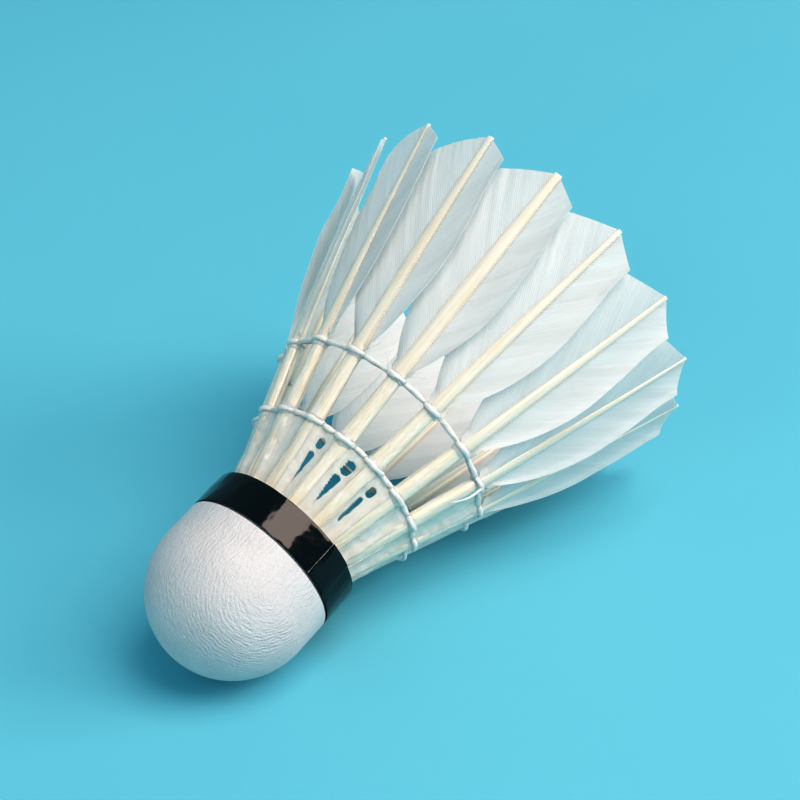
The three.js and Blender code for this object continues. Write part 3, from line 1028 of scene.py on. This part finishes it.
def add_tail(shape):
    """The loose end of the upper thread, thinning to a few hairs."""
    half_width, half_depth = shaft_halves(UPPER_THREAD_Z)
    side = -0.2 * half_width
    out = half_depth + 0.5 * MM
    start = on_feather(TAIL_FEATHER, UPPER_THREAD_Z, side, out)
    end_z = UPPER_THREAD_Z + TAIL_RUN[2]
    end = on_feather(TAIL_FEATHER, end_z, side + TAIL_RUN[1], out + TAIL_RUN[0])
    bulge = on_feather(TAIL_FEATHER, UPPER_THREAD_Z, 0.0, half_depth + 1.6 * MM) - start
    t = np.linspace(0, 1, 40)[:, None]
    path = start + (end - start) * t + bulge * 0.5 * np.sin(math.pi * t)
    add_tube(shape, path, TAIL_RADIUS * (1 - 0.55 * t[:, 0]), 10, 3, CORD_TWIST_LENGTH / 2, False, 77)
    rng = np.random.default_rng(78)
    for hair in range(TAIL_HAIRS):
        stray = (end - start) / np.linalg.norm(end - start) * TAIL_HAIR_LENGTH
        stray = stray + rng.normal(size=3) * 0.22 * MM
        s = np.linspace(-0.3, 1, 8)
        radius = TAIL_HAIR_RADIUS * (1.2 - 0.8 * np.clip(s, 0, 1))
        add_tube(shape, end + stray * s[:, None], radius, 5, seed=hair)


# ---------------------------------------------------------------- glue

def web_openings(index):
    """The openings between a shaft and the next, slightly different in every gap."""
    if index in WHOLE_GAPS:
        return ()
    if index in SHOWN_OPENINGS:
        return SHOWN_OPENINGS[index]
    rng = np.random.default_rng(300 + index)
    foot, top, share, middle, taper = PLAIN_OPENING
    foot = foot + rng.uniform(-0.5, 0.4) * MM
    top = top + rng.uniform(-0.2, 0.2) * MM
    share = share * rng.uniform(0.85, 1.15)
    return ((foot, top, share, middle + rng.uniform(-0.06, 0.06), taper),)


def opening_edges(index, z):
    """Where the film ends on both sides of a gap at each height; equal where the film is whole."""
    rng = np.random.default_rng(400 + index)
    left = np.full(z.shape, 0.5)
    right = np.full(z.shape, 0.5)
    for foot, top, share, middle, taper in web_openings(index):
        t = np.clip((z - foot) / (top - foot), 0, 1)
        from_ends = np.minimum(z - foot, top - z) / (0.5 * MM)
        rounded = np.sin(0.5 * math.pi * np.clip(from_ends, 0, 1)) ** 0.6
        bulge = rounded * t ** taper * share / 2
        tooth_size = 0.07 if index in TOOTHED_GAPS else 0.012
        teeth = tooth_size * np.abs(np.sin(math.pi * z / TOOTH_PITCH))
        ragged = 0.018 * wander(rng, z, 1.6 * MM)
        open_here = (z > foot) & (z < top)
        left = np.where(open_here, middle - np.maximum(bulge + ragged - teeth, 0.01), left)
        right = np.where(open_here, middle + np.maximum(bulge - ragged, 0.01), right)
    return left, right


def add_web(shape, index, foot=WEB_FOOT_Z, top=WEB_TOP_Z):
    """The film of glue that spans one gap between two shafts, from foot to top."""
    rng = np.random.default_rng(500 + index)
    z = np.arange(foot, top, WEB_ROW)
    left, right = opening_edges(index, z)
    whole = right - left < 1e-9
    share = np.linspace(0, 1, WEB_COLUMNS)
    on_left = left[:, None] * share
    on_right = right[:, None] + (1 - right[:, None]) * share
    across = np.concatenate([on_left, on_right], axis=1)
    half_width, half_depth = shaft_section(z)
    following = (index + 1) % FEATHER_COUNT
    level = -0.1 * half_depth
    first = on_feather(index, z, WEB_ROOT * half_width + quill_drift(index, z), level)
    second = on_feather(following, z, -WEB_ROOT * half_width + quill_drift(following, z), level)
    points = first[:, None, :] + (second - first)[:, None, :] * across[..., None]
    outward = points * np.array([1.0, 1.0, 0.0])
    outward = outward / np.linalg.norm(outward, axis=-1)[..., None]
    meniscus = np.abs(2 * across - 1) ** 2.5
    rough = lumps(rng, points, 2.2 * MM)
    filled = 1 - smooth_step(z, 0.5 * MM, 9 * MM)[:, None]
    middle = (0.2 + 0.3 * meniscus + 0.09 * rough + 0.4 * filled) * MM
    thick = (0.13 + 0.38 * meniscus + 0.04 * lumps(rng, points, 1.1 * MM)) * MM
    front = points + outward * (middle + thick)[..., None]
    back = points + outward * (middle - thick)[..., None]
    gap = np.linalg.norm(second - first, axis=-1)
    grain = grain_of(front, z[:, None], gap[:, None] * across, index)
    add_sheet(shape, front, back, web_quads(len(z), whole), grain)


def web_quads(rows, whole):
    """Quads of a film in two halves, which share their middle points where the film is whole."""
    width = 2 * WEB_COLUMNS
    quads = grid_quads(rows, width)
    row, column = divmod(quads[:, 0], width)
    bridged = whole[row] & whole[np.minimum(row + 1, rows - 1)]
    quads = quads[(column != WEB_COLUMNS - 1) | bridged]
    row, column = divmod(quads, width)
    quads = np.where((column == WEB_COLUMNS) & whole[row], quads - 1, quads)
    distinct = [len(set(quad)) == 4 for quad in quads.tolist()]
    return quads[np.array(distinct)]


def add_glue_bed(shape):
    """The ring of glue on top of the cork, creeping up every shaft."""
    rng = np.random.default_rng(600)
    radius = np.linspace(CORK_EYE_RADIUS, NECK_BORE_RADIUS - 0.02 * MM, 26)[:, None]
    angle = full_turn(420)[None, :]
    creep = np.zeros(np.broadcast(radius, angle).shape)
    half_width, half_depth = shaft_halves(0.0)
    for index in range(FEATHER_COUNT):
        turn = angle - feather_azimuth(index)
        side = radius * np.sin(turn)
        out = radius * np.cos(turn) - SHAFT_FOOT_RADIUS
        away = np.hypot(side / half_width, out / half_depth) - 1
        creep = np.maximum(creep, np.exp(-np.clip(away, 0, None) / 0.35) * (np.cos(turn) > 0))
    flat = ring_points(radius, angle, 0.0)
    fade = smooth_step(radius, CORK_EYE_RADIUS, CORK_EYE_RADIUS + 1.2 * MM)
    swell = GLUE_TOP_Z - 0.1 * MM + 0.55 * MM * creep + 0.12 * MM * lumps(rng, flat, 2.6 * MM)
    front = ring_points(radius, angle, CORK_EYE_Z + (swell - CORK_EYE_Z) * fade)
    back = ring_points(radius, angle, GLUE_FOOT_Z)
    add_sheet(shape, front, back, grid_quads(radius.size, angle.size, close_columns=True))


def add_glue_drops(shape, z, size, seed):
    """Glue that gathered round each shaft where the thread ties it."""
    rng = np.random.default_rng(seed)
    half_width, half_depth = shaft_halves(z)
    row = np.linspace(-1, 1, 14)[:, None]
    angle = full_turn(30)[None, :]
    for index in range(FEATHER_COUNT):
        lift = rng.uniform(-0.35, 0.25) * MM
        tall = size * rng.uniform(0.8, 1.3)
        height = z + lift + row * tall * (1 + 0.2 * wander(rng, angle, TURN))
        swell = (1 - row ** 2) * DROP_SWELL * (1 + 0.2 * wander(rng, angle, TURN))
        side = (half_width * 0.96 + swell) * np.cos(angle) + quill_drift(index, height)
        out = (half_depth * 0.96 + swell) * np.sin(angle)
        add_rings(shape, on_feather(index, height, side, out))


# ---------------------------------------------------------------- cork, cover and tape

def wrinkle_lines(points):
    """How far across and along the creases each point is, and how strong they are there."""
    rng = np.random.default_rng(40)
    centre = np.array([0, 0, NOSE_CENTRE_Z])
    run_direction = (WHORL_END - WHORL) / np.linalg.norm(WHORL_END - WHORL)
    facing = (WHORL - centre) / np.linalg.norm(WHORL - centre)
    beside = np.cross(facing, run_direction)
    run = np.clip((points - WHORL) @ run_direction, 0, None)
    away = np.linalg.norm(points - WHORL - run[..., None] * run_direction, axis=-1)
    angle = np.arctan2((points - WHORL) @ beside, -(points - WHORL) @ run_direction)
    bend = 0.25 * lumps(rng, points, 6 * MM) + 0.09 * lumps(rng, points, 1.7 * MM)
    bend = (bend + 0.07 * lumps(rng, points, 0.8 * MM, 20)) * MM
    patch = np.clip(0.45 + 0.55 * lumps(rng, points, 1.5 * MM, 24), 0.03, 1)
    lowness = -(points - centre) @ UPWARD / NOSE_RADIUS
    lower = 0.3 + 0.7 * smooth_step(lowness, -0.75, 0.1)
    spread = 0.1 + 0.9 * smooth_step(away, 2.5 * MM, 6 * MM)
    return away + bend, angle * away, patch * lower * spread


def wrinkled(points):
    """The cover's outer face with its fine creases, which curve round one spot of the ball."""
    rng = np.random.default_rng(43)
    across, _, strength = wrinkle_lines(points)
    crease = np.sin(TURN * across / WRINKLE_SPACING)
    height = WRINKLE_DEPTH * (crease * strength + 0.45 * lumps(rng, points, 0.8 * MM, 20))
    outward = points - np.array([0, 0, NOSE_CENTRE_Z])
    outward[..., 2] = np.minimum(outward[..., 2], 0)
    outward = outward / np.maximum(np.linalg.norm(outward, axis=-1), 1e-9)[..., None]
    fade = smooth_step(-points[..., 2], -NECK_FOOT_Z - 0.4 * MM, -NECK_FOOT_Z + 0.4 * MM)
    return points + outward * (height * fade)[..., None]


def ball_profile(radius, polar):
    """Radius and height of a ball about the nose's middle, at angles from its lowest point."""
    return [(radius * math.sin(a), NOSE_CENTRE_Z - radius * math.cos(a)) for a in polar]


def add_cover(shape):
    """The leather cup over the nose, with a thinner neck that goes up under the tape."""
    ball = ball_profile(NOSE_RADIUS, np.linspace(BALL_POLE, math.pi / 2, 150))
    wall = [(NOSE_RADIUS, z) for z in np.linspace(NOSE_CENTRE_Z, NECK_FOOT_Z - 0.15 * MM, 40)[1:]]
    shoulder = [(NOSE_RADIUS - 0.06 * MM, NECK_FOOT_Z - 0.03 * MM), (NECK_RADIUS, NECK_FOOT_Z)]
    neck = [(NECK_RADIUS, z) for z in np.linspace(NECK_FOOT_Z, CORK_TOP_Z, 8)[1:]]
    inner = NOSE_RADIUS - COVER_THICKNESS
    bore = [(NECK_BORE_RADIUS, CORK_TOP_Z), (NECK_BORE_RADIUS, NECK_FOOT_Z - 0.3 * MM)]
    bore = bore + [(inner, NECK_FOOT_Z - 0.6 * MM)]
    cup = ball_profile(inner, np.linspace(math.pi / 2, BALL_POLE, 24))
    seen = len(ball) + len(wall)
    points = lathe_points(ball + wall + shoulder + neck + bore + cup, COVER_TURNS)
    across, along, strength = wrinkle_lines(points)
    grain = grain_of(points, across, strength, along)
    points[:seen] = wrinkled(points[:seen])
    add_rings(shape, points, grain)


def add_tape(shape):
    """One turn of tape with its free end lapped over its start, and its backing below."""
    rng = np.random.default_rng(50)
    turns = np.linspace(0, TURN + TAPE_LAP, 420)[:, None]
    lap = 1 - smooth_step(turns, TAPE_LAP, TAPE_LAP + 0.1)
    outer = NOSE_RADIUS + TAPE_PROUD + lap * 0.1 * MM
    edge_wave = 0.05 * MM * wander(rng, turns, 1.3)
    share = np.linspace(0, 1, 26)[None, :]
    round_off = 0.05 * MM * (np.abs(2 * share - 1) ** 14)
    foot = -TAPE_HEIGHT + 0.02 * MM + edge_wave + 0.12 * MM * lap
    top = -0.03 * MM + 0.6 * edge_wave + 0.12 * MM * lap
    height = foot + (top - foot) * share
    angle = TAPE_SEAM_AZIMUTH + turns
    flat = ring_points(outer, angle, height)
    ripple = 0.026 * MM * lumps(rng, flat, 3.2 * MM) + 0.010 * MM * lumps(rng, flat, 1.2 * MM)
    ripple = ripple + 0.006 * MM * wander(rng, angle * NOSE_RADIUS + 0.2 * height, 1.5 * MM, 8)
    front = ring_points(outer - round_off + ripple, angle, height)
    back = ring_points(outer - 0.09 * MM, angle, height)
    add_sheet(shape, front, back, grid_quads(turns.size, share.size))
    inner = NECK_RADIUS + 0.02 * MM
    outer = NOSE_RADIUS - 0.2 * MM
    foot = -TAPE_HEIGHT + TAPE_INSET
    top = -0.12 * MM
    section = [(inner, foot), (outer, foot), (outer, top), (inner, top)]
    quads = grid_quads(len(section), BACKING_TURNS, close_rows=True, close_columns=True)
    shape.add(lathe_points(section, BACKING_TURNS), quads[:, ::-1])


def add_tape_end(shape):
    """The cut end of the tape: its pale backing, with a painted highlight along the cut edge."""
    angle = TAPE_SEAM_AZIMUTH + np.array([-0.5, 0.5])[:, None] * TAPE_END_WIDTH / NOSE_RADIUS
    height = np.linspace(-TAPE_HEIGHT + TAPE_INSET, 0.06 * MM, 30)[None, :]
    outer = NOSE_RADIUS + TAPE_PROUD + 0.105 * MM
    front = ring_points(outer, angle, height)
    back = ring_points(outer - 0.15 * MM, angle, height)
    add_sheet(shape, front, back, grid_quads(2, height.size))


def add_cork_nose(shape):
    """The pressed cork ball under the cover."""
    rng = np.random.default_rng(60)
    radius = NOSE_RADIUS - COVER_THICKNESS - CORK_GAP
    ball = ball_profile(radius, np.linspace(0.03, math.pi / 2, 40))
    top = [(radius, CORK_JOINT_Z - CORK_GAP), (0.4 * MM, CORK_JOINT_Z - CORK_GAP)]
    points = lathe_points(ball + top, 120)
    add_rings(shape, points * (1 - 0.004 * np.abs(lumps(rng, points, 1.5 * MM)))[..., None])


def add_cork_top(shape):
    """The natural cork disc that holds the shafts, with its bare eye in the middle."""
    rng = np.random.default_rng(61)
    wall = [(CORK_TOP_RADIUS, z) for z in np.linspace(CORK_JOINT_Z, CORK_TOP_Z, 12)]
    shelf = [(r, CORK_TOP_Z) for r in np.linspace(CORK_TOP_RADIUS, CORK_EYE_RADIUS, 16)[1:]]
    eye = [(r, CORK_EYE_Z) for r in np.linspace(CORK_EYE_RADIUS - 0.1 * MM, 0.05 * MM, 46)]
    points = lathe_points(wall + shelf + eye, 180)
    pits = lumps(rng, points, 0.9 * MM, 18) + 0.6 * lumps(rng, points, 0.35 * MM, 18)
    points[..., 2] -= 0.12 * MM * np.clip(pits - 0.35, 0, 1) + 0.012 * MM * pits
    add_rings(shape, points)


# ---------------------------------------------------------------- the shuttle

def make_piece(name, node, slot, material, *builders):
    """A piece of the shuttle, made by its builders, which are (function, *values). It stands for
    the part's node of that name, if there is one."""
    shape = Shape()
    for builder, *values in builders:
        builder(shape, *values)
    piece = shape.build(name, material)
    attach(piece, "root")
    if node:
        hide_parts(node)


def make_feathers():
    quill = quill_material()
    feather = vane_material()
    for index in range(FEATHER_COUNT):
        name = f"feather_{index + 1:02d}"
        shaft = ((add_quill, index), (add_barb_roots, index))
        narrow = (NarrowVane(index).add_to,)
        wide = (WideVane(index).add_to,)
        make_piece(f"{name}.shaft", f"{name}_quill", "quill", quill, *shaft)
        make_piece(f"{name}.narrow_barbs", f"{name}_narrow_vane", "vane", feather, narrow)
        make_piece(f"{name}.wide_barbs", f"{name}_wide_vane", "vane", feather, wide)


def make_bindings():
    cotton = thread_material()
    glue = glue_material()
    coat = glue_coat_material()
    lower = (add_thread_ring, LOWER_THREAD_Z, 21)
    upper = (add_thread_ring, UPPER_THREAD_Z, 22)
    make_piece("thread.lower", "lower_thread", "thread", cotton, lower)
    make_piece("thread.upper", "upper_thread", "thread", cotton, upper, (add_tail,))
    make_piece("glue.bed", "glue_bed", "glue", glue, (add_glue_bed,))
    lower_drops = (add_glue_drops, LOWER_THREAD_Z, LOWER_DROP_SIZE, 31)
    upper_drops = (add_glue_drops, UPPER_THREAD_Z, UPPER_DROP_SIZE, 32)
    make_piece("glue.lower_drops", None, "glue", coat, lower_drops)
    make_piece("glue.upper_drops", None, "glue", coat, upper_drops)
    for index in range(FEATHER_COUNT):
        make_piece(f"glue.web_{index + 1:02d}", None, "glue", glue, (add_web, index))
    for index in FILMED_GAPS:
        film = (add_web, index, FILM_FOOT_Z, FILM_TOP_Z)
        make_piece(f"glue.film_{index + 1:02d}", None, "glue", glue, film)


def make_base():
    pressed = cork_material("cork_pressed", (0.62, 0.44, 0.27), (0.30, 0.18, 0.09), 900.0)
    natural = cork_material("cork_natural", (0.72, 0.55, 0.36), (0.38, 0.24, 0.13), 1500.0)
    make_piece("cork.nose", "cork_nose", "pressed_cork", pressed, (add_cork_nose,))
    make_piece("cork.top", "cork_top", "natural_cork", natural, (add_cork_top,))
    make_piece("cover.leather", "leather_cover", "leather", leather_material(), (add_cover,))
    make_piece("cover.tape", "tape_band", "tape", tape_material(), (add_tape,))
    make_piece("cover.tape_end", None, "tape", tape_end_material(), (add_tape_end,))


# ---------------------------------------------------------------- studio

def make_floor():
    side = np.linspace(-FLOOR_HALF, FLOOR_HALF, FLOOR_POINTS)
    x, y = np.meshgrid(side, side)
    points = np.stack([x, y, np.full_like(x, -FLOOR_DROP)], axis=-1)
    points = (points - np.array(PLACE.translation)) @ PLACE_TURN
    shape = Shape()
    shape.add(points, grid_quads(FLOOR_POINTS, FLOOR_POINTS))
    shape.build("studio_floor", floor_material())


def make_light(name, towards, distance, size, power):
    """A soft rectangular light that faces the shuttle."""
    lamp = bpy.data.lights.new(name, "AREA")
    lamp.shape = "RECTANGLE"
    lamp.size, lamp.size_y = size
    lamp.energy = power
    lamp.color = WARM
    lamp_object = bpy.data.objects.new(name, lamp)
    direction = Vector(towards).normalized()
    lamp_object.location = direction * distance
    lamp_object.rotation_euler = direction.to_track_quat("Z", "Y").to_euler()
    bpy.context.scene.collection.objects.link(lamp_object)


def make_lights():
    for light in LIGHTS:
        make_light(*light)
    world = bpy.data.worlds.new("studio_air")
    world.use_nodes = True
    background = world.node_tree.nodes["Background"]
    background.inputs["Color"].default_value = AIR
    background.inputs["Strength"].default_value = AIR_STRENGTH
    bpy.context.scene.world = world
    bpy.context.scene.view_settings.view_transform = "Standard"
    bpy.context.scene.view_settings.look = "High Contrast"


def make_camera():
    lens = bpy.data.cameras.new("photo_view")
    lens.sensor_width = SENSOR
    lens.lens = LENS
    lens.clip_start = 0.01
    camera = bpy.data.objects.new("photo_view", lens)
    back = CAMERA_RIGHT.cross(CAMERA_UP)
    camera.matrix_world = axes_at(CAMERA_RIGHT, CAMERA_UP, back, PLACE.translation + CAMERA_REACH)
    bpy.context.scene.collection.objects.link(camera)
    bpy.context.scene.camera = camera


make_feathers()
make_bindings()
make_base()
make_floor()
make_lights()
make_camera()
